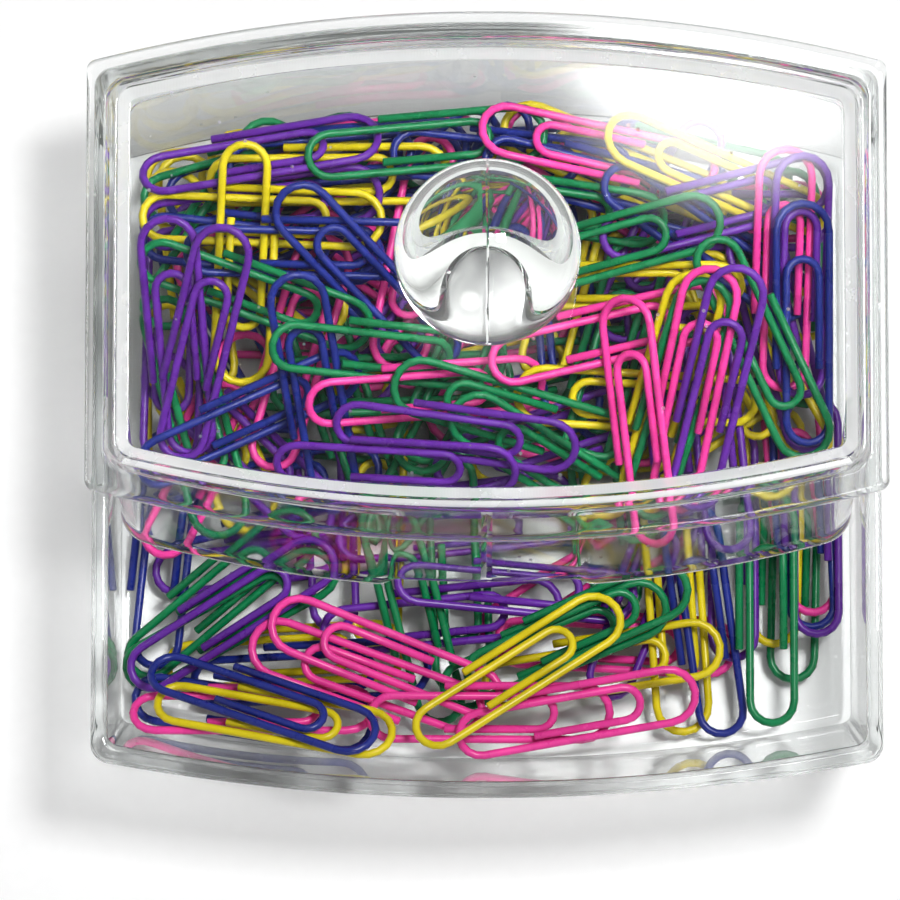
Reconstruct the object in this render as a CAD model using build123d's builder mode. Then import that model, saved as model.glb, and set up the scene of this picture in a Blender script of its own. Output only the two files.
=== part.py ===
"""Clear tray for paper clips, with a lift-off cover, a ball knob and a pin magnet. Millimetres, +Z up."""

from build123d import *

import os
from math import asin, cos, degrees, radians, sin

# Tray: a clear moulded box, open at the top, whose bowed front and back lean outwards
tray_width = 103.4
tray_depth = 103.0
tray_height = 30.0
wall = 2.2
floor_thickness = 2.6
end_lean = 6.0
side_lean = 0.6
tray_front_bow = 5.0
tray_back_bow = 6.7
tray_corner = 2.6
cavity_corner = 1.6
floor_chamfer = 1.0
rim_chamfer = 0.4
panel_drop = 0.5
panel_inset = 2.3
panel_corner = 0.4

# Cover: a flat flange that rests on the rim, a raised frame and a sunk window
lid_depth = 70.2
lid_overhang = 0.9
flange_thickness = 2.4
lid_front_bow = 7.0
lid_corner = 1.2
flange_chamfer = 0.6
frame_height = 1.4
frame_side = 2.75
frame_back = 3.75
frame_front = 4.6
frame_corner = 2.0
frame_chamfer = 0.6
frame_top = 1.3
window_rise = 0.4
window_bevel = 1.6
window_corner = 0.3

# Cover, underside: a lip round the back and sides, and a deep apron that leans forward
skirt_wall = 1.8
skirt_clearance = 0.5
skirt_corner = 4.6
lip_depth = 1.2
apron_depth = 17.0
apron_lean = 7.4
apron_setback = 3.0
cheek_length = 9.0
cheek_slope = 6.0
finger_width = 28.5
finger_depth = 0.9
finger_step = 2.4

# Ball knob on a short neck, held to the cover by a pin magnet
ball_diameter = 24.2
neck_diameter = 6.0
neck_height = 1.2
knob_back_set = 0.8
magnet_diameter = 4.0
magnet_length = 5.0
magnet_clearance = 0.05

# Paper clips: coated wire in three U bends; a few sides and chords stand in for its round section
# and bends
wire = 1.1
wire_sides = 6
bend_chords = 6
clip_length = 33.0
clip_width = 8.4
turn_gap = 0.3
wire_ends_back = 10.5
inner_turn_back = 7.4
seat_clearance = 0.02

# The lowest layer of clips: one runs front to back at the right of the floor panel, and the others
# lie across it in loose rows
clip_colours = ("green", "yellow", "pink", "purple", "blue")
column_gap = 2.0
row_gap = 3.7
end_gap = 12.0
room_used = 0.85
sway_step = 0.62
slide_step = 0.38

# Levels and places that follow from the sizes above; the origin is under the middle of the whole
tray_mid = -lid_overhang / 2
tray_front = tray_mid - tray_depth / 2
tray_back = tray_mid + tray_depth / 2
lid_back = tray_back + lid_overhang
lid_front = lid_back - lid_depth
lid_half = tray_width / 2 + lid_overhang
flange_top = tray_height + flange_thickness
frame_level = flange_top + frame_height
window_level = flange_top + window_rise
apron_bottom = tray_height - apron_depth
knob_y = (lid_front + lid_back) / 2 + knob_back_set
panel_level = floor_thickness - panel_drop


def bowed_face(half, front, back, front_bow, back_bow, corner):
    """A face with straight sides and bowed ends; front and back are the middles of the ends."""
    front_corner = front + front_bow
    back_corner = back - back_bow
    with BuildSketch() as outline:
        with BuildLine():
            Line((-half, front_corner), (-half, back_corner))
            ThreePointArc((-half, back_corner), (0, back), (half, back_corner))
            Line((half, back_corner), (half, front_corner))
            ThreePointArc((half, front_corner), (0, front), (-half, front_corner))
        make_face()
        fillet(outline.vertices(), corner)
    return outline.sketch


def tray_half(level, inset):
    """Half the tray's width at a level, as far inside its outer face as inset says."""
    return tray_width / 2 - inset - side_lean * (1 - level / tray_height)


def end_shift(level):
    """How far the leaning ends have come in at a level below the rim."""
    return end_lean * (1 - level / tray_height)


def tray_face(level, inset, corner):
    """The tray's outline at a level, drawn inset from its outer face."""
    front = tray_front + end_shift(level) + inset
    back = tray_back - end_shift(level) - inset
    return bowed_face(tray_half(level, inset), front, back, tray_front_bow, tray_back_bow, corner)


def skirt_face(level, inset):
    """The cover's skirt at a level: it follows the tray's inside, and the apron leans forward."""
    from_wall = wall + skirt_clearance + inset
    apron_share = (tray_height - level) / apron_depth
    front = lid_front + apron_setback - apron_lean * apron_share + inset
    back = tray_back - end_shift(level) - from_wall
    corner = skirt_corner - inset
    return bowed_face(tray_half(level, from_wall), front, back, lid_front_bow, tray_back_bow, corner)


def finger_face(level):
    """The shallow finger recess at a level, cut into the apron's face with sloping ends."""
    apron_share = (tray_height - level) / apron_depth
    apron_face = lid_front + apron_setback - apron_lean * apron_share
    deep_half = finger_width / 2 - finger_step
    end_half = finger_width / 2
    end_face = apron_face + lid_front_bow * (end_half / lid_half) ** 2
    deep_face = end_face + finger_depth
    outer = apron_face - finger_depth
    with BuildSketch() as recess:
        with BuildLine():
            Polyline((-end_half, end_face), (-end_half, outer), (end_half, outer), (end_half, end_face))
            Line((end_half, end_face), (deep_half, deep_face))
            ThreePointArc((deep_half, deep_face), (0, apron_face + finger_depth), (-deep_half, deep_face))
            Line((-deep_half, deep_face), (-end_half, end_face))
        make_face()
    return recess.sketch


os.makedirs("parts", exist_ok=True)

# Tray: outer body and cavity, both with the rim's chamfer, and the sunk floor panel
with BuildPart() as tray:
    for level, inset in ((0, 0), (tray_height - rim_chamfer, 0), (tray_height, rim_chamfer)):
        with BuildSketch(Plane.XY.offset(level)):
            add(tray_face(level, inset, tray_corner - inset))
    loft(ruled=True)
    for level, inset in (
        (floor_thickness, wall + floor_chamfer),
        (floor_thickness + floor_chamfer, wall),
        (tray_height - rim_chamfer, wall),
        (tray_height, wall - rim_chamfer),
    ):
        with BuildSketch(Plane.XY.offset(level)):
            add(tray_face(level, inset, cavity_corner))
    loft(ruled=True, mode=Mode.SUBTRACT)
    with BuildSketch(Plane.XY.offset(panel_level)):
        add(tray_face(floor_thickness, wall + panel_inset, panel_corner))
    extrude(amount=2 * panel_drop, mode=Mode.SUBTRACT)
tray.part.label = "tray"
export_step(tray.part, "parts/tray.step")

# Cover: flange, raised frame, sunk window, skirt with its apron, and the hole for the magnet
with BuildPart() as lid:
    with BuildSketch(Plane.XY.offset(tray_height)):
        add(bowed_face(lid_half, lid_front, lid_back, lid_front_bow, tray_back_bow, lid_corner))
    extrude(amount=flange_thickness)
    flange_edge = lid.faces().sort_by(Axis.Z)[-1].edges()
    chamfer(flange_edge, flange_chamfer)
    frame_half = lid_half - frame_side
    with BuildSketch(Plane.XY.offset(flange_top)):
        add(
            bowed_face(
                frame_half,
                lid_front + frame_front,
                lid_back - frame_back,
                lid_front_bow,
                tray_back_bow,
                frame_corner,
            )
        )
    extrude(amount=frame_height)
    frame_edge = lid.faces().sort_by(Axis.Z)[-1].edges()
    chamfer(frame_edge, frame_chamfer)
    for level, inset in ((frame_level, frame_top), (window_level, frame_top + window_bevel)):
        with BuildSketch(Plane.XY.offset(level)):
            add(
                bowed_face(
                    frame_half - inset,
                    lid_front + frame_front + inset,
                    lid_back - frame_back - inset,
                    lid_front_bow,
                    tray_back_bow,
                    window_corner,
                )
            )
    loft(ruled=True, mode=Mode.SUBTRACT)
    for inset, how in ((0, Mode.ADD), (skirt_wall, Mode.SUBTRACT)):
        with BuildSketch(Plane.XY.offset(tray_height)):
            add(skirt_face(tray_height, inset))
        with BuildSketch(Plane.XY.offset(apron_bottom)):
            add(skirt_face(apron_bottom, inset))
        loft(ruled=True, mode=how)
    cheek_end = lid_front + apron_setback + cheek_length
    with BuildSketch(Plane.YZ):
        with BuildLine():
            Polyline(
                (cheek_end + cheek_slope, tray_height - lip_depth),
                (lid_back, tray_height - lip_depth),
                (lid_back, apron_bottom - lip_depth),
                (cheek_end - cheek_slope, apron_bottom - lip_depth),
                (cheek_end, apron_bottom),
                close=True,
            )
        make_face()
    extrude(amount=lid_half, both=True, mode=Mode.SUBTRACT)
    for level in (tray_height, apron_bottom):
        with BuildSketch(Plane.XY.offset(level)):
            add(finger_face(level))
    loft(ruled=True, mode=Mode.SUBTRACT)
    with Locations((0, knob_y, window_level)):
        Hole(magnet_diameter / 2 + magnet_clearance)
lid.part.label = "lid"
export_step(lid.part, "parts/lid.step")

# Ball knob: a clear ball on a short neck, with a blind hole for the magnet
neck_top = window_level + neck_height
ball_middle = neck_top + ((ball_diameter / 2) ** 2 - (neck_diameter / 2) ** 2) ** 0.5
magnet_top = tray_height + magnet_length
with BuildPart() as ball_knob:
    with Locations((0, knob_y, ball_middle)):
        Sphere(ball_diameter / 2)
    with BuildSketch(Plane.XY.offset(window_level)):
        with Locations((0, knob_y)):
            Circle(neck_diameter / 2)
    extrude(until=Until.NEXT)
    with BuildSketch(Plane.XY.offset(window_level)):
        with Locations((0, knob_y)):
            Circle(magnet_diameter / 2 + magnet_clearance)
    extrude(amount=magnet_top - window_level, mode=Mode.SUBTRACT)
ball_knob.part.label = "ball_knob"
export_step(ball_knob.part, "parts/ball_knob.step")

# Pin magnet: flush with the cover's underside, its top in the knob
with BuildPart() as knob_magnet:
    with BuildSketch(Plane.XY.offset(tray_height)):
        with Locations((0, knob_y)):
            Circle(magnet_diameter / 2)
    extrude(amount=magnet_length)
knob_magnet.part.label = "knob_magnet"
export_step(knob_magnet.part, "parts/knob_magnet.step")


def bend(along, middle, radius, way):
    """Points of a half-round bend in short chords, from the clip's left side to its right."""
    turns = [radians(90 - 180 * k / bend_chords) for k in range(bend_chords + 1)]
    return [(along + way * radius * cos(turn), middle + way * radius * sin(turn)) for turn in turns]


def clip_solid(heading):
    """One paper clip lying on XY at a heading, its middle at the origin and its underside at zero."""
    outer = (clip_width - wire) / 2
    inner = outer - wire - turn_gap
    near_radius = (outer + inner) / 2
    end = (clip_length - wire) / 2
    wire_end = wire_ends_back - clip_length / 2
    with BuildPart() as clip:
        with BuildLine(Plane.XY.offset(wire / 2)) as path:
            Polyline(
                (wire_end, outer),
                *bend(end - outer, 0, outer, 1),
                *bend(near_radius - end, inner - near_radius, near_radius, -1),
                *bend(end - inner_turn_back - inner, 0, inner, 1),
                (wire_end, -inner),
            )
        with BuildSketch(path.line ^ 0):
            RegularPolygon(wire / 2, wire_sides)
        sweep(transition=Transition.RIGHT)
    return Location((0, 0, 0), (0, 0, heading)) * clip.part


def uneven(number, step):
    """A share of the free room to either side, which differs from one clip to the next."""
    return room_used * (2 * (number * step % 1) - 1)


# The lowest layer of clips: each lies in a cell of the floor panel, turned and slid in the room that
# the cell leaves
panel_half = tray_half(floor_thickness, wall + panel_inset)
panel_front = tray_front + end_shift(floor_thickness) + wall + panel_inset + tray_front_bow
panel_back = tray_back - end_shift(floor_thickness) - wall - panel_inset - tray_back_bow
panel_depth = panel_back - panel_front
upright_width = clip_width + column_gap
upright_count = int(panel_depth // (clip_length + end_gap))
across_width = 2 * panel_half - upright_width
across_columns = int(across_width // (clip_length + column_gap))
across_rows = int(panel_depth // (clip_width + row_gap))
cells = []
for row in range(upright_count):
    cell_y = panel_front + (row + 0.5) * panel_depth / upright_count
    cells.append((90, panel_half - upright_width / 2, cell_y, upright_width, panel_depth / upright_count))
for row in range(across_rows):
    for column in range(across_columns):
        cell_x = -panel_half + (column + 0.5) * across_width / across_columns
        cell_y = panel_front + (row + 0.5) * panel_depth / across_rows
        cells.append((0, cell_x, cell_y, across_width / across_columns, panel_depth / across_rows))

for number, (heading, cell_x, cell_y, cell_width, cell_depth) in enumerate(cells):
    room = min(cell_width, cell_depth) - clip_width
    turned = clip_solid(heading + uneven(number, sway_step) * degrees(asin(room / clip_length)))
    reach = turned.bounding_box()
    place_x = cell_x - reach.center().X + uneven(number, slide_step) * (cell_width - reach.size.X) / 2
    place_y = cell_y - reach.center().Y + uneven(number, slide_step) * (cell_depth - reach.size.Y) / 2
    name = "clip_" + clip_colours[number % len(clip_colours)]
    if number >= len(clip_colours):
        name += "_" + str(number // len(clip_colours) + 1)
    with BuildPart() as paper_clip:
        add(Location((place_x, place_y, panel_level + seat_clearance)) * turned)
    paper_clip.part.label = name
    export_step(paper_clip.part, "parts/" + name + ".step")
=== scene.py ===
"""Looks of the clear paper clip holder: tray, lift-off cover with a ball knob, and a heap of clips."""

import math

import bmesh
import bpy
import numpy as np
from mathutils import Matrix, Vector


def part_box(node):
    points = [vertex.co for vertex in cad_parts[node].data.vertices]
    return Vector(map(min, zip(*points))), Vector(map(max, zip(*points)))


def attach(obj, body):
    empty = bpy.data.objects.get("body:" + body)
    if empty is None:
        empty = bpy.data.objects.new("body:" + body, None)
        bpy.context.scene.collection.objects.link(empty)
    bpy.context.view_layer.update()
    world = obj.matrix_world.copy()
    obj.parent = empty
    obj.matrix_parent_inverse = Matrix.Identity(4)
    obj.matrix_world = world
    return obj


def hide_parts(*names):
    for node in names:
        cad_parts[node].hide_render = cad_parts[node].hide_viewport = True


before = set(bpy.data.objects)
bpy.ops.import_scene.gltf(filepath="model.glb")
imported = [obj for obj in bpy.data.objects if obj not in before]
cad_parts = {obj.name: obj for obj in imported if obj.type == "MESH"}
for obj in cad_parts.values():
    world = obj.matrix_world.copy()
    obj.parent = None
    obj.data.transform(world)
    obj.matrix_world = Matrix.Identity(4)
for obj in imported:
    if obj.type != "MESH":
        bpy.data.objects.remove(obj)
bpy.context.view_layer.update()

# Tray: one clear moulded box of acrylic, open at the top. Its front and back are bowed and lean
# outwards, its sides stand nearly upright, and the floor has a shallow sunk panel. The rim and the
# inside edges are softly rounded by the mould.
mm = 0.001
tray_low, tray_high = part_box("tray")
tray_half = tray_high.x
tray_front = tray_low.y
tray_back = tray_high.y
tray_height = tray_high.z
tray_wall = 2.2 * mm
tray_floor = 2.6 * mm
tray_lean = 6.0 * mm
tray_draft = 0.6 * mm
tray_front_bow = 5.0 * mm
tray_back_bow = 6.7 * mm
panel_drop = 0.5 * mm
panel_inset = 2.3 * mm
foot_round = 0.5 * mm
rim_round = 0.7 * mm
inside_round = 1.0 * mm
panel_round = 0.15 * mm
rim_level = tray_height - 0.03 * mm
end_steps = 64
corner_steps = 9
side_steps = 72
round_steps = 6
edge_hold = 1.25


def bowed_ring(half, front, back, front_bow, back_bow, corner, level):
    """Points round an outline with straight sides and bowed ends, anticlockwise from the front's middle."""
    quarters = []
    for end, bow, inward in ((front, front_bow, 1), (back, back_bow, -1)):
        radius = (half**2 + bow**2) / (2 * bow)
        middle = end + inward * radius
        rise = math.sqrt((radius - corner) ** 2 - (half - corner) ** 2)
        turn = math.atan2(half - corner, rise)
        sweep = np.linspace(0, turn, end_steps)
        arc = np.column_stack((radius * np.sin(sweep), middle - inward * radius * np.cos(sweep)))
        bend = np.linspace(turn, math.pi / 2, corner_steps)[1:]
        corner_y = middle - inward * (rise + corner * np.cos(bend))
        quarters.append(np.vstack((arc, np.column_stack((half - corner + corner * np.sin(bend), corner_y)))))
    front_run, back_run = quarters
    side_y = np.linspace(front_run[-1, 1], back_run[-1, 1], side_steps)[1:-1]
    side = np.column_stack((np.full(len(side_y), half), side_y))
    right = np.vstack((front_run, side, back_run[::-1]))
    left = right[1:-1][::-1] * (-1, 1)
    ring = np.vstack((right, left))
    return np.column_stack((ring, np.full(len(ring), level)))


def rounded_profile(corners):
    """A section line through (x, z, radius) corners, all rounded, with a point close to each round's ends."""
    line = [np.array(corners[0][:2])]
    for before, here, after in zip(corners, corners[1:], corners[2:]):
        point = np.array(here[:2])
        back_way = np.array(before[:2]) - point
        on_way = np.array(after[:2]) - point
        back_way /= np.linalg.norm(back_way)
        on_way /= np.linalg.norm(on_way)
        half_angle = math.acos(float(back_way @ on_way)) / 2
        reach = here[2] / math.tan(half_angle)
        inside = (back_way + on_way) / np.linalg.norm(back_way + on_way)
        middle = point + inside * here[2] / math.sin(half_angle)
        first = point + back_way * reach - middle
        last = point + on_way * reach - middle
        span = math.pi - 2 * half_angle
        line.append(point + back_way * reach * edge_hold)
        for share in np.linspace(0, 1, round_steps):
            bend = first * math.sin((1 - share) * span) + last * math.sin(share * span)
            line.append(middle + bend / math.sin(span))
        line.append(point + on_way * reach * edge_hold)
    line.append(np.array(corners[-1][:2]))
    return line


def ring_piece(name, rings, closed):
    """A solid skin through rings of equal count; the end rings are joined to each other or filled flat."""
    count = len(rings[0])
    points = np.vstack(rings)
    mesh = bmesh.new()
    corners = [mesh.verts.new(point) for point in points]
    last = len(rings) if closed else len(rings) - 1
    for row in range(last):
        here = row * count
        above = (row + 1) % len(rings) * count
        for k in range(count):
            on = (k + 1) % count
            mesh.faces.new((corners[here + k], corners[here + on], corners[above + on], corners[above + k]))
    if not closed:
        mesh.faces.new(corners[:count][::-1])
        mesh.faces.new(corners[-count:])
    bmesh.ops.recalc_face_normals(mesh, faces=mesh.faces)
    for face in mesh.faces:
        face.smooth = True
    skin = bpy.data.meshes.new(name)
    mesh.to_mesh(skin)
    mesh.free()
    skin.set_sharp_from_angle(angle=math.radians(28))
    piece = bpy.data.objects.new(name, skin)
    bpy.context.scene.collection.objects.link(piece)
    return piece


def tray_ring(inset, level):
    """The tray's outline at a level, inset from its outer face."""
    share = 1 - level / tray_height
    shift = tray_lean * share + inset
    corner = np.interp(inset, (0, tray_wall, tray_wall + panel_inset), (2.6 * mm, 1.6 * mm, 0.5 * mm))
    half = tray_half - tray_draft * share - inset
    front = tray_front + shift
    back = tray_back - shift
    return bowed_ring(half, front, back, tray_front_bow, tray_back_bow, corner, level)


tray_section = rounded_profile(
    (
        (2.5 * mm, 0, 0),
        (0, 0, foot_round),
        (0, rim_level, rim_round),
        (tray_wall, rim_level, rim_round),
        (tray_wall, tray_floor, inside_round),
        (tray_wall + panel_inset, tray_floor, panel_round),
        (tray_wall + panel_inset + 0.2 * mm, tray_floor - panel_drop, panel_round),
        (tray_wall + panel_inset + 1.5 * mm, tray_floor - panel_drop, 0),
    )
)
tray_piece = ring_piece("clear_tray", [tray_ring(inset, level) for inset, level in tray_section], False)


def moulded_acrylic_group():
    """Faint flow marks, handling haze and a soft waviness, as clear mouldings show close up."""
    group = bpy.data.node_groups.new("moulded_acrylic", "ShaderNodeTree")
    sockets = group.interface
    sockets.new_socket("Flow scale", in_out="INPUT", socket_type="NodeSocketFloat").default_value = 30
    sockets.new_socket("Haze", in_out="INPUT", socket_type="NodeSocketFloat").default_value = 0.03
    sockets.new_socket("Clearness", in_out="INPUT", socket_type="NodeSocketFloat").default_value = 0.9
    sockets.new_socket("Tint", in_out="OUTPUT", socket_type="NodeSocketColor")
    sockets.new_socket("Roughness", in_out="OUTPUT", socket_type="NodeSocketFloat")
    sockets.new_socket("Height", in_out="OUTPUT", socket_type="NodeSocketFloat")
    nodes, links = group.nodes, group.links
    entry = nodes.new("NodeGroupInput")
    leave = nodes.new("NodeGroupOutput")
    place = nodes.new("ShaderNodeTexCoord")
    flow = nodes.new("ShaderNodeTexNoise")
    flow.inputs["Detail"].default_value = 3
    flow.inputs["Distortion"].default_value = 1.2
    links.new(place.outputs["Object"], flow.inputs["Vector"])
    links.new(entry.outputs["Flow scale"], flow.inputs["Scale"])
    tint = nodes.new("ShaderNodeValToRGB")
    tint.color_ramp.elements[0].position = 0.3
    tint.color_ramp.elements[0].color = (0.955, 0.968, 0.965, 1)
    tint.color_ramp.elements[1].position = 0.7
    tint.color_ramp.elements[1].color = (0.99, 1.0, 0.998, 1)
    links.new(flow.outputs["Fac"], tint.inputs["Fac"])
    grey = nodes.new("ShaderNodeVectorMath")
    grey.operation = "SCALE"
    links.new(tint.outputs["Color"], grey.inputs["Vector"])
    links.new(entry.outputs["Clearness"], grey.inputs["Scale"])
    links.new(grey.outputs["Vector"], leave.inputs["Tint"])
    smear = nodes.new("ShaderNodeTexNoise")
    smear.inputs["Scale"].default_value = 140
    smear.inputs["Detail"].default_value = 6
    links.new(place.outputs["Object"], smear.inputs["Vector"])
    haze = nodes.new("ShaderNodeMapRange")
    haze.inputs["From Min"].default_value = 0.45
    haze.inputs["From Max"].default_value = 0.75
    haze.inputs["To Min"].default_value = 0.004
    links.new(smear.outputs["Fac"], haze.inputs["Value"])
    links.new(entry.outputs["Haze"], haze.inputs["To Max"])
    speck = nodes.new("ShaderNodeTexVoronoi")
    speck.inputs["Scale"].default_value = 190
    links.new(place.outputs["Object"], speck.inputs["Vector"])
    dust = nodes.new("ShaderNodeMapRange")
    dust.inputs["From Min"].default_value = 0.03
    dust.inputs["From Max"].default_value = 0.06
    dust.inputs["To Min"].default_value = 0.5
    dust.inputs["To Max"].default_value = 0
    links.new(speck.outputs["Distance"], dust.inputs["Value"])
    rough = nodes.new("ShaderNodeMath")
    rough.operation = "MAXIMUM"
    links.new(haze.outputs["Result"], rough.inputs[0])
    links.new(dust.outputs["Result"], rough.inputs[1])
    links.new(rough.outputs["Value"], leave.inputs["Roughness"])
    links.new(flow.outputs["Fac"], leave.inputs["Height"])
    return group


acrylic_effect = moulded_acrylic_group()
acrylic_ior = 1.49


def pass_lamp_light(material, shade):
    """Lets the lamps shine through a clear piece, dimmed a little, so that its shadow stays pale."""
    nodes, links = material.node_tree.nodes, material.node_tree.links
    through = nodes.new("ShaderNodeBsdfTransparent")
    through.inputs["Color"].default_value = (shade, shade, shade, 1)
    light = nodes.new("ShaderNodeLightPath")
    mix = nodes.new("ShaderNodeMixShader")
    links.new(light.outputs["Is Shadow Ray"], mix.inputs["Fac"])
    links.new(nodes["Principled BSDF"].outputs["BSDF"], mix.inputs[1])
    links.new(through.outputs["BSDF"], mix.inputs[2])
    links.new(mix.outputs["Shader"], nodes["Material Output"].inputs["Surface"])


def clear_acrylic(name, flow_scale, haze, waviness, clearness, shade, depth_tint):
    """Clear acrylic that lets light through to what lies behind it."""
    material = bpy.data.materials.new(name)
    material.use_nodes = True
    nodes, links = material.node_tree.nodes, material.node_tree.links
    body = nodes["Principled BSDF"]
    body.inputs["Transmission Weight"].default_value = 1
    body.inputs["IOR"].default_value = acrylic_ior
    effect = nodes.new("ShaderNodeGroup")
    effect.node_tree = acrylic_effect
    effect.inputs["Flow scale"].default_value = flow_scale
    effect.inputs["Haze"].default_value = haze
    effect.inputs["Clearness"].default_value = clearness
    links.new(effect.outputs["Tint"], body.inputs["Base Color"])
    links.new(effect.outputs["Roughness"], body.inputs["Roughness"])
    wave = nodes.new("ShaderNodeBump")
    wave.inputs["Strength"].default_value = waviness
    wave.inputs["Distance"].default_value = 0.2 * mm
    links.new(effect.outputs["Height"], wave.inputs["Height"])
    links.new(wave.outputs["Normal"], body.inputs["Normal"])
    pass_lamp_light(material, shade)
    if depth_tint:
        soak = nodes.new("ShaderNodeVolumeAbsorption")
        soak.inputs["Color"].default_value = (0.6, 0.62, 0.61, 1)
        soak.inputs["Density"].default_value = depth_tint
        links.new(soak.outputs["Volume"], nodes["Material Output"].inputs["Volume"])
    return material


tray_acrylic = clear_acrylic(
    "tray_clear_acrylic",
    flow_scale=34,
    haze=0.035,
    waviness=0.05,
    clearness=0.84,
    shade=0.63,
    depth_tint=20,
)
tray_piece.data.materials.append(tray_acrylic)
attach(tray_piece, "tray_body")
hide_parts("tray")

# Cover: a second clear moulding that lifts off. Its flange lies on the tray's rim, a raised frame with a
# satin milled bevel runs round a sunk window, and a low lip keeps it in place. The apron in front
# reaches down into the tray, is a little hazy and has a shallow finger recess.
lid_low, lid_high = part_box("lid")
lid_half = lid_high.x
lid_back = lid_high.y
lid_front = lid_back - 70.2 * mm
lid_front_bow = 7.0 * mm
flange_top = tray_height + 2.4 * mm
frame_side = 2.75 * mm
frame_front = 3.9 * mm
frame_back = 3.75 * mm
frame_level = lid_high.z
frame_top = 1.3 * mm
frame_slope = 0.25 * mm
window_bevel = 1.6 * mm
window_level = flange_top + 0.4 * mm
window_edge = frame_side + frame_top + window_bevel
window_round = 0.5 * mm
bevel_round = 0.55 * mm
frame_round = 0.45 * mm
flange_round = 0.7 * mm
root_round = 0.35 * mm
under_round = 0.3 * mm
skirt_wall = 1.8 * mm
skirt_gap = 0.5 * mm
skirt_corner = 4.6 * mm
lip_depth = 1.2 * mm
apron_bottom = lid_low.z
apron_depth = tray_height - apron_bottom
apron_lean = 7.4 * mm
apron_setback = 3.0 * mm
cheek_end = lid_front + apron_setback + 9.0 * mm
cheek_slope = 6.0 * mm
finger_width = 28.5 * mm
finger_depth = 0.9 * mm
finger_step = 2.4 * mm
knob_y = (lid_front + lid_back) / 2 + 0.8 * mm
magnet_hole = 2.05 * mm


def lid_ring(inward, level):
    """The cover's outline from its edge inwards: first across the flange, then over the raised frame."""
    share = min(inward / frame_side, 1)
    inset = max(inward - frame_side, 0)
    corner = np.interp(inward, (0, frame_side, window_edge), (1.4 * mm, 3.2 * mm, 1.5 * mm))
    half = lid_half - share * frame_side - inset
    front = lid_front + share * frame_front + inset
    back = lid_back - share * frame_back - inset
    flatter = (half / lid_half) ** 2
    return bowed_ring(half, front, back, lid_front_bow * flatter, tray_back_bow * flatter, corner, level)


def skirt_level_ring(level, inset):
    """The skirt at one level: close inside the tray's walls, with the apron leaning forward."""
    share = 1 - level / tray_height
    from_wall = tray_wall + skirt_gap + inset
    half = tray_half - tray_draft * share - from_wall
    front = lid_front + apron_setback - apron_lean * (tray_height - level) / apron_depth + inset
    back = tray_back - tray_lean * share - from_wall
    ring = bowed_ring(half, front, back, lid_front_bow, tray_back_bow, skirt_corner - inset, level)
    if inset < skirt_wall / 2:
        in_front = ring[:, 1] < cheek_end - 9.0 * mm
        dip = np.clip((finger_width / 2 - np.abs(ring[:, 0])) / finger_step, 0, 1)
        ring[:, 1] += np.where(in_front, finger_depth * dip * dip * (3 - 2 * dip), 0)
    return ring


def skirt_edge_ring(inset, above_edge):
    """The skirt's lower edge: deep at the apron, up along the cheeks, and a short lip round the rest."""
    top = skirt_level_ring(tray_height, inset)
    bottom = skirt_level_ring(apron_bottom, inset)
    level = np.full(len(top), apron_bottom)
    for _ in range(30):
        share = (tray_height - level) / apron_depth
        along = top[:, 1] + (bottom[:, 1] - top[:, 1]) * share
        edge = np.interp(along, (cheek_end, cheek_end + cheek_slope), (apron_bottom, tray_height - lip_depth))
        level = (level + edge) / 2
    share = ((tray_height - level - above_edge) / apron_depth)[:, None]
    return top + (bottom - top) * share


def hole_ring(ring, level):
    """The magnet's hole, its points facing those of the outline round it."""
    away = ring[:, :2] - (0, knob_y)
    away /= np.linalg.norm(away, axis=1)[:, None]
    return np.column_stack((away * magnet_hole + (0, knob_y), np.full(len(ring), level)))


lid_section = rounded_profile(
    (
        (window_edge + 2 * mm, window_level, 0),
        (window_edge, window_level, window_round),
        (frame_side + frame_top, frame_level, bevel_round),
        (frame_side + frame_slope, frame_level, frame_round),
        (frame_side - frame_slope, flange_top, root_round),
        (0, flange_top, flange_round),
        (0, tray_height, under_round),
        (1.5 * mm, tray_height, 0),
    )
)
lid_rings = [lid_ring(inward, level) for inward, level in lid_section]
edge_round = 0.35 * mm
lid_rings = (
    [hole_ring(lid_rings[0], window_level)]
    + lid_rings
    + [
        skirt_level_ring(tray_height, 0),
        skirt_edge_ring(0, 2 * edge_round),
        skirt_edge_ring(0, edge_round),
        skirt_edge_ring(0.3 * edge_round, 0.3 * edge_round),
        skirt_edge_ring(edge_round, 0),
        skirt_edge_ring(skirt_wall - edge_round, 0),
        skirt_edge_ring(skirt_wall - 0.3 * edge_round, 0.3 * edge_round),
        skirt_edge_ring(skirt_wall, edge_round),
        skirt_edge_ring(skirt_wall, 2 * edge_round),
        skirt_level_ring(tray_height, skirt_wall),
    ]
    + [hole_ring(lid_rings[0], tray_height)]
)
lid_piece = ring_piece("clear_cover", lid_rings, True)
cover_shade = 0.75
cover_acrylic = clear_acrylic(
    "cover_clear_acrylic",
    flow_scale=26,
    haze=0.03,
    waviness=0.04,
    clearness=0.96,
    shade=cover_shade,
    depth_tint=0,
)
lid_piece.data.materials.append(cover_acrylic)
milled_bevel = bpy.data.materials.new("milled_bevel_acrylic")
milled_bevel.use_nodes = True
nodes, links = milled_bevel.node_tree.nodes, milled_bevel.node_tree.links
satin = nodes["Principled BSDF"]
satin.inputs["Transmission Weight"].default_value = 0.35
satin.inputs["IOR"].default_value = acrylic_ior
place = nodes.new("ShaderNodeTexCoord")
scatter = nodes.new("ShaderNodeTexNoise")
scatter.inputs["Scale"].default_value = 260
scatter.inputs["Detail"].default_value = 4
links.new(place.outputs["Object"], scatter.inputs["Vector"])
pale = nodes.new("ShaderNodeValToRGB")
pale.color_ramp.elements[0].position = 0.3
pale.color_ramp.elements[0].color = (0.89, 0.905, 0.905, 1)
pale.color_ramp.elements[1].position = 0.7
pale.color_ramp.elements[1].color = (0.95, 0.96, 0.96, 1)
links.new(scatter.outputs["Fac"], pale.inputs["Fac"])
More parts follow.
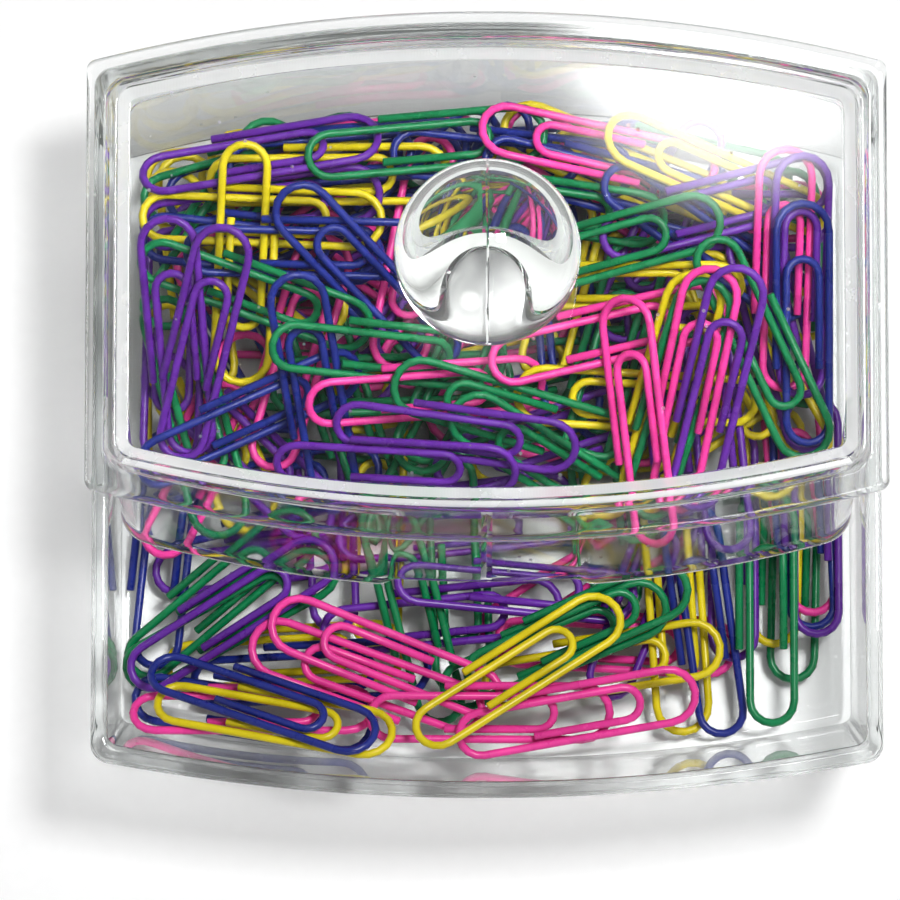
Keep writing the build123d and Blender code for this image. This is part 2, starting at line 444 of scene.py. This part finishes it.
links.new(pale.outputs["Color"], satin.inputs["Base Color"])
frost = nodes.new("ShaderNodeMapRange")
frost.inputs["From Min"].default_value = 0.3
frost.inputs["From Max"].default_value = 0.7
frost.inputs["To Min"].default_value = 0.2
frost.inputs["To Max"].default_value = 0.3
links.new(scatter.outputs["Fac"], frost.inputs["Value"])
links.new(frost.outputs["Result"], satin.inputs["Roughness"])
ribs = nodes.new("ShaderNodeTexWave")
ribs.inputs["Scale"].default_value = 785
links.new(place.outputs["Object"], ribs.inputs["Vector"])
ridge = nodes.new("ShaderNodeBump")
ridge.inputs["Strength"].default_value = 0.1
ridge.inputs["Distance"].default_value = 0.05 * mm
links.new(ribs.outputs["Fac"], ridge.inputs["Height"])
links.new(ridge.outputs["Normal"], satin.inputs["Normal"])
pass_lamp_light(milled_bevel, cover_shade)
lid_piece.data.materials.append(milled_bevel)
apron_acrylic = clear_acrylic(
    "apron_hazy_acrylic",
    flow_scale=40,
    haze=0.14,
    waviness=0.2,
    clearness=0.92,
    shade=cover_shade,
    depth_tint=0,
)
lid_piece.data.materials.append(apron_acrylic)
# Rows of faces run from the magnet's hole out over the frame, round the flange and down the apron.
bevel_rows = range(6, 10)
frame_top_rows = range(17, 22)
apron_rows = range(51, 60)
around = len(lid_rings[0])
for face in lid_piece.data.polygons:
    row, column = divmod(face.index, around)
    at_front = min(column, around - 1 - column) < end_steps
    if row in bevel_rows or (at_front and row in frame_top_rows):
        face.material_index = 1
    elif at_front and row in apron_rows:
        face.material_index = 2
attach(lid_piece, "cover_body")
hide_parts("lid")

# Ball knob: a solid clear acrylic ball on a short neck, with a blind hole from below for the magnet.
# Its two mould halves meet in a fine line over the top, and white cement holds its foot to the cover.
ball_low, ball_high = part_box("ball_knob")
ball_radius = (ball_high.x - ball_low.x) / 2
ball_middle = ball_high.z - ball_radius
neck_radius = 3.0 * mm
foot_gap = 0.02 * mm
magnet_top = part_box("knob_magnet")[1].z


def turned_piece(name, profile, steps):
    """A piece turned about the knob's axis from (radius, level) points, closed on the axis at both ends."""
    mesh = bmesh.new()
    rows = []
    for radius, level in profile:
        if radius < 1e-7:
            rows.append([mesh.verts.new((0, knob_y, level))] * steps)
            continue
        turns = [2 * math.pi * k / steps for k in range(steps)]
        places = [(radius * math.cos(a), knob_y + radius * math.sin(a), level) for a in turns]
        rows.append([mesh.verts.new(place) for place in places])
    for lower, upper in zip(rows, rows[1:]):
        for k in range(steps):
            on = (k + 1) % steps
            around = (lower[k], lower[on], upper[on], upper[k])
            mesh.faces.new(tuple(dict.fromkeys(around)))
    bmesh.ops.recalc_face_normals(mesh, faces=mesh.faces)
    for face in mesh.faces:
        face.smooth = True
    skin = bpy.data.meshes.new(name)
    mesh.to_mesh(skin)
    mesh.free()
    skin.set_sharp_from_angle(angle=math.radians(30))
    piece = bpy.data.objects.new(name, skin)
    bpy.context.scene.collection.objects.link(piece)
    return piece


neck_angle = math.asin(neck_radius / ball_radius)
ball_turn = np.linspace(math.pi - neck_angle, 0, 90)
ball_profile = [
    (0, magnet_top + foot_gap),
    (magnet_hole - 0.2 * mm, magnet_top + foot_gap),
    (magnet_hole, magnet_top - 0.2 * mm),
    (magnet_hole, window_level + foot_gap),
    (neck_radius - 0.15 * mm, window_level + foot_gap),
    (neck_radius, window_level + 0.15 * mm),
]
ball_profile += [(ball_radius * math.sin(a), ball_middle + ball_radius * math.cos(a)) for a in ball_turn[:-1]]
ball_profile += [(0, ball_high.z)]
ball_piece = turned_piece("ball_knob_clear", ball_profile, 160)
ball_acrylic = clear_acrylic(
    "knob_clear_acrylic",
    flow_scale=60,
    haze=0.012,
    waviness=0.01,
    clearness=0.97,
    shade=0.9,
    depth_tint=10,
)
nodes, links = ball_acrylic.node_tree.nodes, ball_acrylic.node_tree.links
place = nodes.new("ShaderNodeTexCoord")
split = nodes.new("ShaderNodeSeparateXYZ")
links.new(place.outputs["Object"], split.inputs["Vector"])
off_seam = nodes.new("ShaderNodeMath")
off_seam.operation = "ABSOLUTE"
links.new(split.outputs["X"], off_seam.inputs[0])
seam = nodes.new("ShaderNodeMapRange")
seam.inputs["From Max"].default_value = 0.14 * mm
seam.inputs["To Min"].default_value = 1
seam.inputs["To Max"].default_value = 0
links.new(off_seam.outputs["Value"], seam.inputs["Value"])
seam_ridge = nodes.new("ShaderNodeBump")
seam_ridge.inputs["Strength"].default_value = 0.5
seam_ridge.inputs["Distance"].default_value = 0.06 * mm
links.new(seam.outputs["Result"], seam_ridge.inputs["Height"])
links.new(nodes["Bump"].outputs["Normal"], seam_ridge.inputs["Normal"])
links.new(seam_ridge.outputs["Normal"], nodes["Principled BSDF"].inputs["Normal"])
ball_piece.data.materials.append(ball_acrylic)
cement = bpy.data.materials.new("white_cement")
cement.use_nodes = True
nodes, links = cement.node_tree.nodes, cement.node_tree.links
film = nodes["Principled BSDF"]
place = nodes.new("ShaderNodeTexCoord")
blotches = nodes.new("ShaderNodeTexNoise")
blotches.inputs["Scale"].default_value = 700
links.new(place.outputs["Object"], blotches.inputs["Vector"])
film_colour = nodes.new("ShaderNodeValToRGB")
film_colour.color_ramp.elements[0].color = (0.55, 0.56, 0.55, 1)
film_colour.color_ramp.elements[1].color = (0.74, 0.75, 0.73, 1)
links.new(blotches.outputs["Fac"], film_colour.inputs["Fac"])
links.new(film_colour.outputs["Color"], film.inputs["Base Color"])
film_gloss = nodes.new("ShaderNodeMapRange")
film_gloss.inputs["To Min"].default_value = 0.4
film_gloss.inputs["To Max"].default_value = 0.7
links.new(blotches.outputs["Fac"], film_gloss.inputs["Value"])
links.new(film_gloss.outputs["Result"], film.inputs["Roughness"])
film_bump = nodes.new("ShaderNodeBump")
film_bump.inputs["Strength"].default_value = 0.1
film_bump.inputs["Distance"].default_value = 0.02 * mm
links.new(blotches.outputs["Fac"], film_bump.inputs["Height"])
links.new(film_bump.outputs["Normal"], film.inputs["Normal"])
ball_piece.data.materials.append(cement)
for face in ball_piece.data.polygons:
    if abs(face.center.z - window_level - foot_gap) < 0.001 * mm:
        face.material_index = 1
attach(ball_piece, "cover_body")
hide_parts("ball_knob")

# Pin magnet: a short nickel-plated round bar pressed up through the cover into the knob. The plating
# is bright, with fine turning marks on its ends and broken edges.
magnet_low, magnet_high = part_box("knob_magnet")
magnet_radius = (magnet_high.x - magnet_low.x) / 2
magnet_chamfer = 0.3 * mm
magnet_profile = [
    (0, magnet_low.z),
    (magnet_radius - magnet_chamfer, magnet_low.z),
    (magnet_radius - 0.3 * magnet_chamfer, magnet_low.z + 0.3 * magnet_chamfer),
    (magnet_radius, magnet_low.z + magnet_chamfer),
    (magnet_radius, magnet_high.z - magnet_chamfer),
    (magnet_radius - 0.3 * magnet_chamfer, magnet_high.z - 0.3 * magnet_chamfer),
    (magnet_radius - magnet_chamfer, magnet_high.z),
    (0, magnet_high.z),
]
magnet_piece = turned_piece("pin_magnet_plated", magnet_profile, 64)
nickel = bpy.data.materials.new("bright_nickel_plate")
nickel.use_nodes = True
nodes, links = nickel.node_tree.nodes, nickel.node_tree.links
plate = nodes["Principled BSDF"]
plate.inputs["Metallic"].default_value = 1
place = nodes.new("ShaderNodeTexCoord")
marks = nodes.new("ShaderNodeTexNoise")
marks.inputs["Scale"].default_value = 900
marks.inputs["Detail"].default_value = 4
links.new(place.outputs["Object"], marks.inputs["Vector"])
plate_colour = nodes.new("ShaderNodeValToRGB")
plate_colour.color_ramp.elements[0].color = (0.3, 0.3, 0.3, 1)
plate_colour.color_ramp.elements[1].color = (0.46, 0.46, 0.455, 1)
links.new(marks.outputs["Fac"], plate_colour.inputs["Fac"])
links.new(plate_colour.outputs["Color"], plate.inputs["Base Color"])
plate_gloss = nodes.new("ShaderNodeMapRange")
plate_gloss.inputs["To Min"].default_value = 0.22
plate_gloss.inputs["To Max"].default_value = 0.42
links.new(marks.outputs["Fac"], plate_gloss.inputs["Value"])
links.new(plate_gloss.outputs["Result"], plate.inputs["Roughness"])
plate_bump = nodes.new("ShaderNodeBump")
plate_bump.inputs["Strength"].default_value = 0.15
plate_bump.inputs["Distance"].default_value = 0.02 * mm
links.new(marks.outputs["Fac"], plate_bump.inputs["Height"])
links.new(plate_bump.outputs["Normal"], plate.inputs["Normal"])
magnet_piece.data.materials.append(nickel)
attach(magnet_piece, "cover_body")
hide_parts("knob_magnet")

# Paper clips: steel wire with a coloured vinyl coat, bent in three U turns. They lie loose in the tray
# as they were poured in; each one is let down onto the floor, the leaning walls and the clips below it.
wire_radius = 0.55 * mm
clip_length = 33.0 * mm
clip_width = 8.4 * mm
turn_gap = 0.3 * mm
wire_ends_back = 10.5 * mm
inner_turn_back = 7.4 * mm
arc_steps = 9
tube_sides = 8


def clip_line():
    """The wire's middle line in the clip's own plane, along its length and across it."""
    outer = clip_width / 2 - wire_radius
    step = 2 * wire_radius + turn_gap
    inner = outer - step
    far_turn = clip_length / 2 - wire_radius - outer
    near_radius = (outer + inner) / 2
    near_turn = -(clip_length / 2 - wire_radius - near_radius)
    last_turn = far_turn + outer - inner_turn_back - inner
    wire_end = wire_ends_back - clip_length / 2
    points = [(wire_end, outer)]
    for along, middle, radius, way in (
        (far_turn, 0, outer, 1),
        (near_turn, inner - near_radius, near_radius, -1),
        (last_turn, 0, inner, 1),
    ):
        for turn in np.linspace(math.pi / 2, -math.pi / 2, arc_steps):
            points.append((along + way * radius * math.cos(turn), middle + way * radius * math.sin(turn)))
    points.append((wire_end, -inner))
    return np.array(points)


clip_path = clip_line()


def evenly(path, count):
    """Points at equal steps along a path."""
    run = np.concatenate(([0], np.cumsum(np.linalg.norm(np.diff(path, axis=0), axis=1))))
    steps = np.linspace(0, run[-1], count)
    return np.column_stack([np.interp(steps, run, path[:, k]) for k in range(path.shape[1])])


feel_points = evenly(clip_path, 44)
heap_cell = 0.4 * mm
heap_reach = np.array((52.0 * mm, 52.0 * mm))
heap_count = (2 * heap_reach / heap_cell).astype(int) + 1
heap_x = (np.arange(heap_count[0]) * heap_cell - heap_reach[0])[:, None]
heap_y = (np.arange(heap_count[1]) * heap_cell - heap_reach[1])[None, :]


def end_line(end, bow, inward, half):
    """Where a bowed inner wall stands at the floor, for each place across the tray."""
    return end + inward * bow * (heap_x / half) ** 2


inner_half = tray_half - tray_draft - tray_wall
near_end = tray_front + tray_lean + tray_wall
far_end = tray_back - tray_lean - tray_wall
climb = 2.4 * mm
back_climb = 0.2 * mm
wall_gap = 0.2 * mm
cover_room = 46.3 * mm
narrowing = 16 * mm
cover_gap = 0.8 * mm
floor_front = end_line(near_end, tray_front_bow, 1, inner_half)
floor_back = end_line(far_end, tray_back_bow, -1, inner_half)
lean_rise = tray_height / tray_lean
heap = np.maximum(np.maximum(floor_front - heap_y, heap_y - floor_back), 0) * lean_rise + tray_floor
heap += np.maximum(np.abs(heap_x) - inner_half, 0) * 40
sunk = (heap_y - floor_front > panel_inset) & (floor_back - heap_y > panel_inset)
sunk &= np.abs(heap_x) < inner_half - panel_inset
heap = np.where(sunk, tray_floor - panel_drop, heap)

triples = []
for a in range(len(feel_points)):
    for b in range(a + 1, len(feel_points)):
        for c in range(b + 1, len(feel_points)):
            triples.append((a, b, c))
triples = np.array(triples)
corner_a, corner_b, corner_c = (feel_points[triples[:, k]] for k in range(3))
double_area = np.cross(corner_b - corner_a, corner_c - corner_a)
weights = np.column_stack(
    (
        np.cross(corner_b, corner_c),
        np.cross(corner_c, corner_a),
        np.cross(corner_a, corner_b),
    )
)
broad = np.abs(double_area) > 20e-6
weights = weights[broad] / double_area[broad][:, None]
triples = triples[broad]
holding = (weights >= 0).all(axis=1)
weights = weights[holding]
triples = triples[holding]


def heap_height(points):
    """The heap's height under points, read from the cell that each point falls in."""
    at = np.clip((points[:, :2] + heap_reach) / heap_cell, 0, heap_count - 1.001)
    low = at.astype(int)
    return heap[low[:, 0], low[:, 1]]


def let_down(x, y, heading):
    """Settles a clip at a place and heading on what lies there; gives its middle and its own axes."""
    turn = math.radians(heading)
    ahead = np.array((math.cos(turn), math.sin(turn), 0))
    aside = np.array((-math.sin(turn), math.cos(turn), 0))
    pitch = roll = 0.0
    for _ in range(10):
        level = math.sqrt(1 - pitch**2)
        along = ahead * level + np.array((0, 0, pitch))
        lift = np.cross(along, aside)
        lean = np.clip(roll / level, -0.96, 0.96)
        across = aside * math.sqrt(1 - lean**2) + lift * lean
        spread = feel_points[:, :1] * along + feel_points[:, 1:] * across
        widths = (inner_half - wall_gap, cover_room)
        room = np.interp(y, (lid_front, lid_front + narrowing), widths) - wire_radius
        x = min(max(x, -room - spread[:, 0].min()), room - spread[:, 0].max())
        bowed = ((spread[:, 0] + x) / inner_half) ** 2
        y = max(y, (near_end - climb + tray_front_bow * bowed - spread[:, 1]).max())
        y = min(y, (far_end + back_climb - tray_back_bow * bowed - spread[:, 1]).min())
        under = heap_height(spread + (x, y, 0)) + wire_radius
        held = (under[triples] * weights).sum(axis=1)
        best = held.argmax()
        a, b, c = triples[best]
        rise = np.linalg.solve(
            np.array((feel_points[b] - feel_points[a], feel_points[c] - feel_points[a])),
            np.array((under[b] - under[a], under[c] - under[a])),
        )
        pitch = 0.5 * pitch + 0.5 * float(np.clip(rise[0], -0.5, 0.5))
        roll = 0.5 * roll + 0.5 * float(np.clip(rise[1], -0.85, 0.85))
    z = float((under - spread[:, 2]).max())
    return np.array((x, y, z)), along, across


def pile_up(path):
    """Raises the heap under a clip that has come to rest."""
    for point in evenly(path, 150):
        low = ((point[:2] - wire_radius + heap_reach) / heap_cell).astype(int)
        high = ((point[:2] + wire_radius + heap_reach) / heap_cell).astype(int) + 1
        part = heap[low[0] : high[0] + 1, low[1] : high[1] + 1]
        np.maximum(part, point[2] + wire_radius, out=part)


def wire_tube(path):
    """Corners and faces of a round wire along a path, with domed ends."""
    ahead = np.gradient(path, axis=0)
    ahead /= np.linalg.norm(ahead, axis=1)[:, None]
    flat = np.cross(path[12] - path[4], path[20] - path[4])
    flat /= np.linalg.norm(flat)
    side = np.cross(ahead, flat)
    side /= np.linalg.norm(side, axis=1)[:, None]
    up = np.cross(side, ahead)
    turns = np.arange(tube_sides) * 2 * math.pi / tube_sides
    rings = [
        path[k] + wire_radius * (np.cos(turns)[:, None] * side[k] + np.sin(turns)[:, None] * up[k])
        for k in range(len(path))
    ]
    rings.insert(0, path[0] + (rings[0] - path[0]) * 0.7 - ahead[0] * 0.2 * wire_radius)
    rings.append(path[-1] + (rings[-1] - path[-1]) * 0.7 + ahead[-1] * 0.2 * wire_radius)
    faces = []
    for row in range(len(rings) - 1):
        for k in range(tube_sides):
            on = (k + 1) % tube_sides
            here = row * tube_sides
            faces.append((here + k, here + on, here + tube_sides + on, here + tube_sides + k))
    faces.append(tuple(range(tube_sides))[::-1])
    faces.append(tuple(range(len(rings) * tube_sides - tube_sides, len(rings) * tube_sides)))
    return np.vstack(rings), faces


coat_colours = {
    "blue": (0.008, 0.018, 0.19),
    "green": (0.001, 0.17, 0.055),
    "yellow": (0.62, 0.5, 0.004),
    "pink": (0.75, 0.04, 0.29),
    "purple": (0.1, 0.014, 0.27),
}
colour_names = list(coat_colours)
poured = np.random.RandomState(7)
clip_runs = {name: [] for name in colour_names}


def under_cover(path):
    """Whether a run of wire stays clear of the cover, which must lift straight off it."""
    x, y, z = evenly(path, 120).T
    bow = lid_front_bow * (x / inner_half) ** 2
    apron_foot = lid_front + apron_setback - apron_lean + bow
    apron_face = apron_foot + apron_lean * (z - apron_bottom) / apron_depth
    beside_apron = (y > apron_foot - cover_gap) & (y < apron_face + skirt_wall + cover_gap)
    in_apron = (z > apron_bottom - cover_gap) & beside_apron
    in_lid = (y > apron_foot) & (z > tray_height - lip_depth - cover_gap)
    return not (in_apron | in_lid).any()


nudges = ((0, 0, 0), (1.5, 0, 0), (-1.5, 0, 0), (0, 1.5, 0), (0, -1.5, 0), (0, 0, 6), (0, 0, -6))


def settle(x, y, heading):
    """The wire of a clip that slides and turns a little to lie low, near a place in millimetres."""
    runs = []
    for slide_x, slide_y, turn in nudges:
        middle, along, across = let_down((x + slide_x) * mm, (y + slide_y) * mm, heading + turn)
        run = middle + clip_path[:, :1] * along + clip_path[:, 1:] * across
        runs.append((run[:, 2].max() + run[:, 2].mean(), len(runs), run))
    return min(runs)[2]


def lay_clip(colour, x, y, heading):
    """Lays one clip on the heap, unless the cover would not close over it."""
    run = settle(x, y, heading)
    if under_cover(run):
        pile_up(run)
        clip_runs[colour].append(run)


floor_clips = {}
for node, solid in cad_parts.items():
    if node.startswith("clip_"):
        corners = np.array([corner.co for corner in solid.data.vertices])
        ahead = np.linalg.svd(corners - corners.mean(axis=0), full_matrices=False)[2][0] * (1, 1, 0)
        ahead /= np.linalg.norm(ahead)
        aside = np.array((-ahead[1], ahead[0], 0))
        reach = corners @ np.column_stack((ahead, aside, (0, 0, 1)))
        middle = (reach.min(axis=0) + reach.max(axis=0)) / 2
        way = 1 if reach[:, 0].mean() > middle[0] else -1
        spot = middle[0] * ahead + middle[1] * aside + (0, 0, middle[2])
        run = spot + way * (clip_path[:, :1] * ahead + clip_path[:, 1:] * aside)
        pile_up(run)
        floor_clips[node] = run


reaching_out = (
    ("yellow", -15, -13, 88),
    ("purple", -20, -11, 92),
    ("blue", -46, -16, 78),
    ("yellow", 37, -13, 88),
    ("purple", 34, -15, 90),
    ("pink", 44, -9, 95),
    ("blue", 41, -11, 92),
    ("purple", 46, -12, 90),
    ("pink", 13, -19, 33),
    ("purple", -4, -13, 8),
    ("blue", -30, -10, 12),
    ("green", 14, -9, 96),
    ("green", -5, -20, 272),
    ("purple", 21, -21, 62),
    ("yellow", 24, -25, 274),
    ("blue", 29, -27, 98),
    ("green", 39, -24, 90),
)
for clip in reaching_out:
    lay_clip(*clip)
for _ in range(64):
    places = poured.uniform((-46, -2, 0), (46, 40, 2 * math.pi), (150, 3))
    ahead = np.column_stack((np.cos(places[:, 2]), np.sin(places[:, 2])))
    aside = ahead[:, ::-1] * (-1, 1)
    spread = feel_points[:, 0, None] * ahead[:, None] + feel_points[:, 1, None] * aside[:, None]
    under = heap_height((spread + places[:, None, :2] * mm).reshape(-1, 2)).reshape(len(places), -1)
    lowest = places[np.sort(under, axis=1)[:, -6:].mean(axis=1).argmin()]
    lay_clip(colour_names[poured.randint(5)], lowest[0], lowest[1], math.degrees(lowest[2]))
in_front = (
    ("purple", -6, -24, 6),
    ("green", -10, -23, 104),
    ("purple", 4, -20, -5),
    ("yellow", 14, -32, 9),
    ("green", 9, -28, 22),
    ("green", 12, -26, 24),
    ("purple", -20, -26, 15),
    ("blue", -22, -33, 2),
    ("green", -42, -22, 45),
    ("green", -37, -24, 28),
    ("blue", -31, -38, -3),
    ("pink", -31, -41, -6),
    ("purple", -34, -25, 26),
    ("pink", -32, -27, 24),
    ("purple", -35, -30, 27),
    ("pink", -16, -33, 160),
    ("pink", -15, -32, 158),
    ("pink", -1, -39, 0),
    ("pink", 12, -39, 16),
    ("yellow", 4, -35, 33),
    ("yellow", -28, -43, -5),
    ("blue", -28, -40, -20),
)
for clip in in_front:
    lay_clip(*clip)
on_top = (
    ("green", -40, 28, 62),
    ("blue", -20, 36, 5),
    ("yellow", -21, 33, 7),
    ("purple", -36, 30, 8),
    ("blue", -38, 25, -6),
    ("yellow", -33, 27, 4),
    ("purple", -31, 34, 10),
    ("blue", 2, 35, -6),
    ("green", -8, 37, 12),
    ("blue", 14, 32, -14),
    ("green", 8, 30, -8),
    ("pink", 15, 36, 163),
    ("blue", 28, 24, -34),
    ("yellow", 35, 31, 158),
    ("purple", 33, 28, 10),
    ("pink", 38, 20, 88),
    ("purple", 43, 19, 94),
    ("blue", 45, 14, 90),
    ("yellow", 18, 19, 0),
    ("green", 14, 22, 15),
    ("yellow", -32, 22, 267),
    ("blue", -24, 24, 0),
    ("blue", -16, 20, 135),
    ("green", -36, 18, -19),
    ("purple", -43, 12, 95),
    ("purple", -38, 11, 75),
    ("blue", -32, 2, 25),
    ("blue", -23, 5, 100),
    ("green", -13, 10, -4),
    ("pink", -8, 5, 6),
    ("yellow", 20, 4, 177),
    ("green", 3, 2, 165),
    ("green", 9, -5, 150),
    ("purple", -4, -1, -8),
    ("purple", -12, -5, -4),
    ("pink", 16, 11, 20),
    ("green", 40, 9, -58),
    ("yellow", 24, 5, 73),
    ("green", 25, 4, 72),
    ("pink", 27, 5, 78),
    ("purple", 30, 5, 76),
    ("purple", 32, 4, 77),
    ("blue", 34, 6, 80),
    ("pink", 20, 1, 97),
)
for clip in on_top:
    lay_clip(*clip)


def coated_wire(name, colour):
    """Vinyl coat on wire: glossy, a little uneven in shade, with a fine skin."""
    material = bpy.data.materials.new(name)
    material.use_nodes = True
    nodes, links = material.node_tree.nodes, material.node_tree.links
    coat = nodes["Principled BSDF"]
    coat.inputs["Specular IOR Level"].default_value = 0.32
    place = nodes.new("ShaderNodeTexCoord")
    uneven = nodes.new("ShaderNodeTexNoise")
    uneven.inputs["Scale"].default_value = 220
    uneven.inputs["Detail"].default_value = 4
    links.new(place.outputs["Object"], uneven.inputs["Vector"])
    shade = nodes.new("ShaderNodeValToRGB")
    shade.color_ramp.elements[0].position = 0.25
    shade.color_ramp.elements[0].color = (*(0.8 * c for c in colour), 1)
    shade.color_ramp.elements[1].position = 0.75
    shade.color_ramp.elements[1].color = (*(min(1.15 * c + 0.003, 1) for c in colour), 1)
    links.new(uneven.outputs["Fac"], shade.inputs["Fac"])
    links.new(shade.outputs["Color"], coat.inputs["Base Color"])
    gloss = nodes.new("ShaderNodeMapRange")
    gloss.inputs["To Min"].default_value = 0.2
    gloss.inputs["To Max"].default_value = 0.36
    links.new(uneven.outputs["Fac"], gloss.inputs["Value"])
    links.new(gloss.outputs["Result"], coat.inputs["Roughness"])
    skin = nodes.new("ShaderNodeTexNoise")
    skin.inputs["Scale"].default_value = 2500
    links.new(place.outputs["Object"], skin.inputs["Vector"])
    bump = nodes.new("ShaderNodeBump")
    bump.inputs["Strength"].default_value = 0.08
    bump.inputs["Distance"].default_value = 0.03 * mm
    links.new(skin.outputs["Fac"], bump.inputs["Height"])
    links.new(bump.outputs["Normal"], coat.inputs["Normal"])
    return material


def clips_piece(name, paths, material):
    """All clips of one colour as one piece."""
    points, faces = [], []
    for path in paths:
        corners, sides = wire_tube(path)
        start = sum(len(p) for p in points)
        points.append(corners)
        faces += [tuple(start + k for k in side) for side in sides]
    skin = bpy.data.meshes.new(name)
    skin.from_pydata(np.vstack(points).tolist(), [], faces)
    skin.polygons.foreach_set("use_smooth", [True] * len(skin.polygons))
    skin.set_sharp_from_angle(angle=math.radians(60))
    piece = bpy.data.objects.new(name, skin)
    bpy.context.scene.collection.objects.link(piece)
    piece.data.materials.append(material)
    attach(piece, "tray_body")
    return piece


for colour in colour_names:
    finish = coated_wire(colour + "_vinyl_coat", coat_colours[colour])
    heap_piece = clips_piece("clips_" + colour, clip_runs[colour], finish)
    for node, run in floor_clips.items():
        if node.startswith("clip_" + colour):
            piece = clips_piece("floor_" + node, [run], finish)
            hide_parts(node)

# Table: a plain white sheet of paper under the holder. It keeps the soft shadow that the clear walls
# and the clips throw to the left.
table_half = 1.5
table_skin = bpy.data.meshes.new("white_table")
table_skin.from_pydata(
    [(x * table_half, y * table_half, -0.05 * mm) for x, y in ((-1, -1), (1, -1), (1, 1), (-1, 1))],
    [],
    [(0, 1, 2, 3)],
)
table = bpy.data.objects.new("white_table", table_skin)
bpy.context.scene.collection.objects.link(table)
paper = bpy.data.materials.new("white_paper")
paper.use_nodes = True
nodes, links = paper.node_tree.nodes, paper.node_tree.links
sheet = nodes["Principled BSDF"]
sheet.inputs["Roughness"].default_value = 0.9
place = nodes.new("ShaderNodeTexCoord")
grain = nodes.new("ShaderNodeTexNoise")
grain.inputs["Scale"].default_value = 400
links.new(place.outputs["Object"], grain.inputs["Vector"])
sheet_colour = nodes.new("ShaderNodeValToRGB")
sheet_colour.color_ramp.elements[0].color = (0.93, 0.93, 0.93, 1)
sheet_colour.color_ramp.elements[1].color = (0.97, 0.97, 0.97, 1)
links.new(grain.outputs["Fac"], sheet_colour.inputs["Fac"])
links.new(sheet_colour.outputs["Color"], sheet.inputs["Base Color"])
table_skin.materials.append(paper)

# Light: a small soft box whose reflection veils the cover's far right corner, a lamp from the right
# that throws the shadow, and an even white room, dark straight overhead as a ceiling is. Clear walls
# show the room at its full level, while the light that it throws on things is lower.
softbox = bpy.data.lights.new("softbox", "AREA")
softbox.shape = "RECTANGLE"
softbox.size = 0.12
softbox.size_y = 0.12
softbox.energy = 1
softbox.use_nodes = True
nodes, links = softbox.node_tree.nodes, softbox.node_tree.links
glow = nodes["Emission"]
spot = nodes.new("ShaderNodeNewGeometry")
shift = nodes.new("ShaderNodeVectorMath")
shift.operation = "DISTANCE"
shift.inputs[1].default_value = (0.5, 0.5, 0)
links.new(spot.outputs["Parametric"], shift.inputs[0])
fall = nodes.new("ShaderNodeMapRange")
fall.interpolation_type = "SMOOTHERSTEP"
fall.inputs["From Min"].default_value = 0.12
fall.inputs["From Max"].default_value = 0.46
fall.inputs["To Min"].default_value = 0.7
fall.inputs["To Max"].default_value = 0
links.new(shift.outputs["Value"], fall.inputs["Value"])
links.new(fall.outputs["Result"], glow.inputs["Strength"])
softbox_stand = bpy.data.objects.new("softbox", softbox)
softbox_stand.location = (0.066, 0.219, 0.94)
bpy.context.scene.collection.objects.link(softbox_stand)
side_box = bpy.data.lights.new("side_box", "AREA")
side_box.shape = "RECTANGLE"
side_box.size = 0.2
side_box.size_y = 0.2
side_box.energy = 9.4
side_stand = bpy.data.objects.new("side_box", side_box)
side_stand.location = (0.3, 0.18, 1.06)
side_stand.rotation_euler = (math.radians(-9), math.radians(16), 0)
bpy.context.scene.collection.objects.link(side_stand)
room = bpy.data.worlds.new("white_room")
bpy.context.scene.world = room
room.use_nodes = True
nodes, links = room.node_tree.nodes, room.node_tree.links
sky = nodes["Background"]
place = nodes.new("ShaderNodeTexCoord")
split = nodes.new("ShaderNodeSeparateXYZ")
links.new(place.outputs["Generated"], split.inputs["Vector"])
fade = nodes.new("ShaderNodeValToRGB")
fade.color_ramp.elements[0].position = 0.0
fade.color_ramp.elements[0].color = (1.0, 1.0, 1.0, 1)
fade.color_ramp.elements[1].position = 0.86
fade.color_ramp.elements[1].color = (1.0, 1.0, 1.0, 1)
overhead = fade.color_ramp.elements.new(0.95)
overhead.color = (0.1, 0.1, 0.1, 1)
links.new(split.outputs["Z"], fade.inputs["Fac"])
links.new(fade.outputs["Color"], sky.inputs["Color"])
ray = nodes.new("ShaderNodeLightPath")
level = nodes.new("ShaderNodeMapRange")
level.inputs["To Min"].default_value = 0.76
level.inputs["To Max"].default_value = 0.42
links.new(ray.outputs["Diffuse Depth"], level.inputs["Value"])
links.new(level.outputs["Result"], sky.inputs["Strength"])

# Camera: a long lens, high above the holder and a little in front of it, as the photograph was taken.
# Light goes on for many turns in clear walls before it leaves them, so many bounces are allowed.
camera = bpy.data.cameras.new("camera")
camera.sensor_width = 36
camera.lens = 280
camera.clip_start = 0.05
camera.clip_end = 20
camera_stand = bpy.data.objects.new("camera", camera)
camera_stand.location = (-4.82 * mm, -123.45 * mm, 938.77 * mm)
camera_stand.rotation_euler = (math.radians(7.358), 0, 0)
bpy.context.scene.collection.objects.link(camera_stand)
bpy.context.scene.camera = camera_stand
bpy.context.scene.view_settings.view_transform = "Standard"
bpy.context.scene.cycles.max_bounces = 96
bpy.context.scene.cycles.glossy_bounces = 96
bpy.context.scene.cycles.transmission_bounces = 96
bpy.context.scene.cycles.transparent_max_bounces = 48
